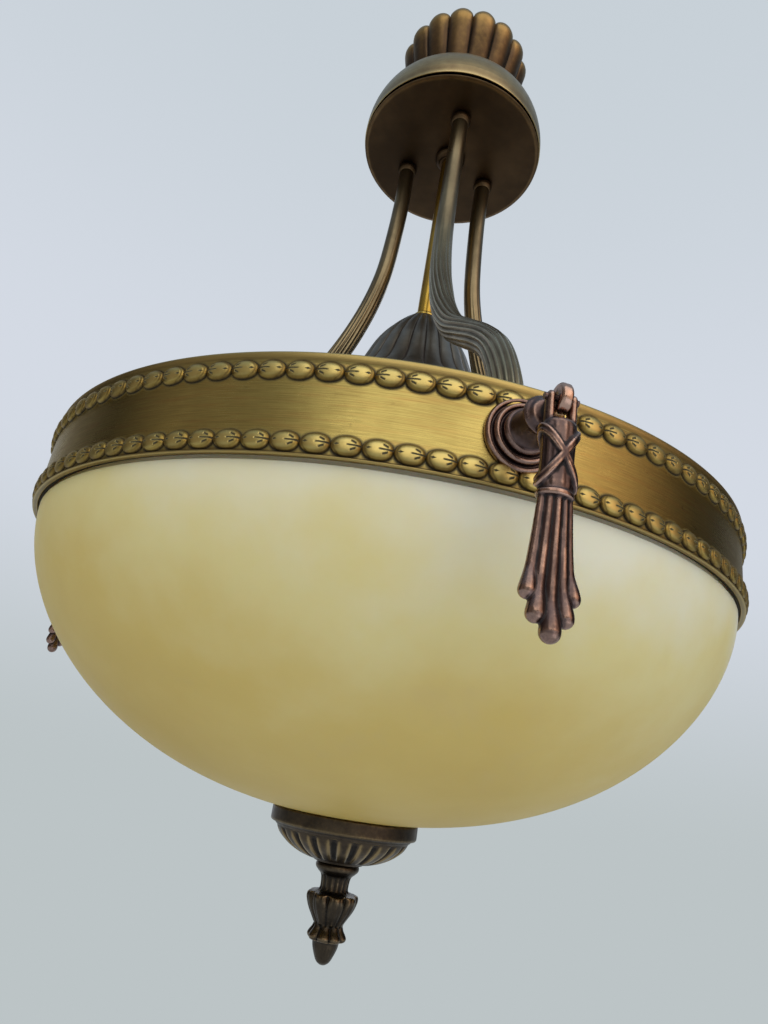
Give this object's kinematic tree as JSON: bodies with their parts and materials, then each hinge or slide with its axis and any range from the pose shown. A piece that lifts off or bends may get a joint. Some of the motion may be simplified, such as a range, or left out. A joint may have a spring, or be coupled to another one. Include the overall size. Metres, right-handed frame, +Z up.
{
  "type": "semi-flush ceiling light",
  "caption": "Semi-flush ceiling light: satin glass bowl in a beaded brass band, carried by S-shaped fluted arms from a lobed canopy, with hinged cast tassels and a finial",
  "frame": {"origin": "on the lamp's axis in the ceiling's plane, midway between the ceiling bar's two slots", "axes": "+Z up into the ceiling, the lamp hangs towards -Z; the front boss and tassel face -Y; the bar's slots lie along X"},
  "size_m": [0.419, 0.4461, 0.683],
  "materials": {
    "steel": "zinc plated",
    "bare_brass": "machined",
    "terminal_plastic": "moulded",
    "lobed_bronze": "antique satin bronze with rubbed high spots",
    "dark_bronze": "dark antique bronze",
    "fluted_bronze": "dark antique bronze with rubbed flutes",
    "tube_brass": "satin antique brass",
    "porcelain": "glazed",
    "band_brass": "brushed antique brass, lacquered",
    "bead_brass": "antique brass with dark recesses",
    "copper_bronze": "copper bronze with rubbed edges",
    "satin_glass": "satin amber-cream opal glass",
    "washer_rubber": "matte"
  },
  "bodies": {
    "lamp": {"ceiling_bar": "steel", "earth_screw": "bare_brass", "terminal_block": "terminal_plastic", "threaded_rod": "bare_brass", "rod_nuts": "bare_brass", "ceiling_bell": "lobed_bronze", "bell_washer": "bare_brass", "canopy_cup": "lobed_bronze", "canopy_disc": "dark_bronze", "center_collar": "dark_bronze", "arm_collars": "dark_bronze", "arm_nuts": "bare_brass", "arm_washers": "steel", "arm_1": "fluted_bronze", "arm_2": "fluted_bronze", "arm_3": "fluted_bronze", "center_tube": "tube_brass", "dome_cap": "tube_brass", "socket_dome": "fluted_bronze", "lamp_plate": "bare_brass", "lampholder_1": "porcelain", "lampholder_2": "porcelain", "lampholder_3": "porcelain", "screw_shell_1": "bare_brass", "screw_shell_2": "bare_brass", "screw_shell_3": "bare_brass", "center_contacts": "bare_brass", "holder_nipples": "bare_brass", "nipple_nuts": "bare_brass", "ring_band": "band_brass", "bead_row_upper": "bead_brass", "bead_row_lower": "bead_brass", "boss_1": "copper_bronze", "boss_2": "copper_bronze", "boss_3": "copper_bronze", "boss_studs": "steel"},
    "bowl": {"glass_bowl": "satin_glass", "bowl_washer": "washer_rubber", "bowl_gasket": "washer_rubber", "finial_plate": "dark_bronze"},
    "finial_body": {"finial": "dark_bronze"},
    "tassel_1_body": {"tassel_1": "copper_bronze", "tassel_pin_1": "steel"},
    "tassel_2_body": {"tassel_2": "copper_bronze", "tassel_pin_2": "steel"},
    "tassel_3_body": {"tassel_3": "copper_bronze", "tassel_pin_3": "steel"}
  },
  "joints": [
    {"name": "tassel_swing_1", "type": "hinge", "parent": "lamp", "child": "tassel_1_body", "pos_m": [0, -0.2334, -0.461], "axis": [-1, 0, 0], "range_deg": [-22, 90]},
    {"name": "tassel_swing_2", "type": "hinge", "parent": "lamp", "child": "tassel_2_body", "pos_m": [-0.20213, 0.1167, -0.461], "axis": [0.5, 0.866, 0], "range_deg": [-22, 90]},
    {"name": "tassel_swing_3", "type": "hinge", "parent": "lamp", "child": "tassel_3_body", "pos_m": [0.20213, 0.1167, -0.461], "axis": [0.5, -0.866, 0], "range_deg": [-22, 90]},
    {"name": "bowl_lower", "type": "slide", "parent": "lamp", "child": "bowl", "axis": [0, 0, -1], "range_m": [0, 0.12]},
    {"name": "finial_turn", "type": "hinge", "parent": "bowl", "child": "finial_body", "pos_m": [0, 0, -0.66], "axis": [0, 0, 1], "continuous": true}
  ]
}
